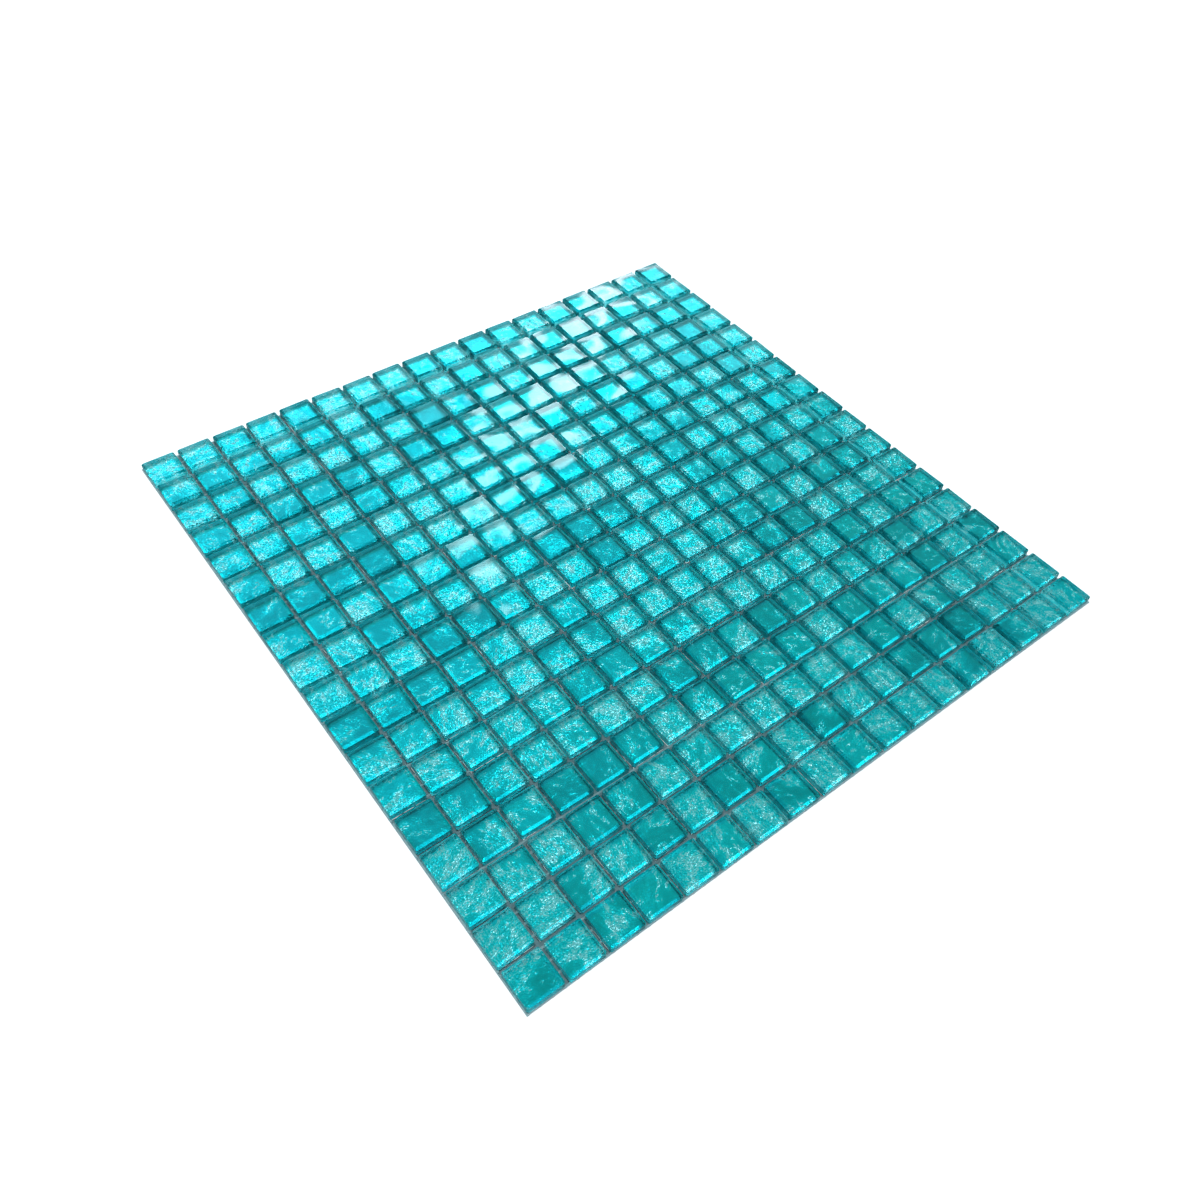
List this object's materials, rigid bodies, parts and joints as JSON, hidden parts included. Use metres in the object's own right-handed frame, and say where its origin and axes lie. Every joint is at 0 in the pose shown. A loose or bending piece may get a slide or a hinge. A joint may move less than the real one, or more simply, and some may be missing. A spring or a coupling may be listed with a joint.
{
  "type": "mosaic tile sheet",
  "caption": "Flat sheet of small square foil-backed glass mosaic tiles in even rows with narrow joints, held together by an open glass-fibre net on the back.",
  "frame": {"origin": "middle of the underside of the net", "axes": "+Z out of the glass face, +X along the rows, +Y across the rows"},
  "size_m": [0.3, 0.3, 0.0045],
  "materials": {
    "clear_glass": "clear glass with a faint green-blue body tint, smooth and glossy",
    "teal_foil": "thin crinkled metal foil under a teal lacquer, dull on its back",
    "net_yarn": "flat glass-fibre yarn stiffened with resin, greyed by adhesive"
  },
  "bodies": {
    "root": {"glass_chips_row_01": "clear_glass", "glass_chips_row_02": "clear_glass", "glass_chips_row_03": "clear_glass", "glass_chips_row_04": "clear_glass", "glass_chips_row_05": "clear_glass", "glass_chips_row_06": "clear_glass", "glass_chips_row_07": "clear_glass", "glass_chips_row_08": "clear_glass", "glass_chips_row_09": "clear_glass", "glass_chips_row_10": "clear_glass", "glass_chips_row_11": "clear_glass", "glass_chips_row_12": "clear_glass", "glass_chips_row_13": "clear_glass", "glass_chips_row_14": "clear_glass", "glass_chips_row_15": "clear_glass", "glass_chips_row_16": "clear_glass", "glass_chips_row_17": "clear_glass", "glass_chips_row_18": "clear_glass", "foil_backs_row_01": "teal_foil", "foil_backs_row_02": "teal_foil", "foil_backs_row_03": "teal_foil", "foil_backs_row_04": "teal_foil", "foil_backs_row_05": "teal_foil", "foil_backs_row_06": "teal_foil", "foil_backs_row_07": "teal_foil", "foil_backs_row_08": "teal_foil", "foil_backs_row_09": "teal_foil", "foil_backs_row_10": "teal_foil", "foil_backs_row_11": "teal_foil", "foil_backs_row_12": "teal_foil", "foil_backs_row_13": "teal_foil", "foil_backs_row_14": "teal_foil", "foil_backs_row_15": "teal_foil", "foil_backs_row_16": "teal_foil", "foil_backs_row_17": "teal_foil", "foil_backs_row_18": "teal_foil", "net_warp_yarns": "net_yarn", "net_weft_yarns": "net_yarn"}
  },
  "joints": []
}
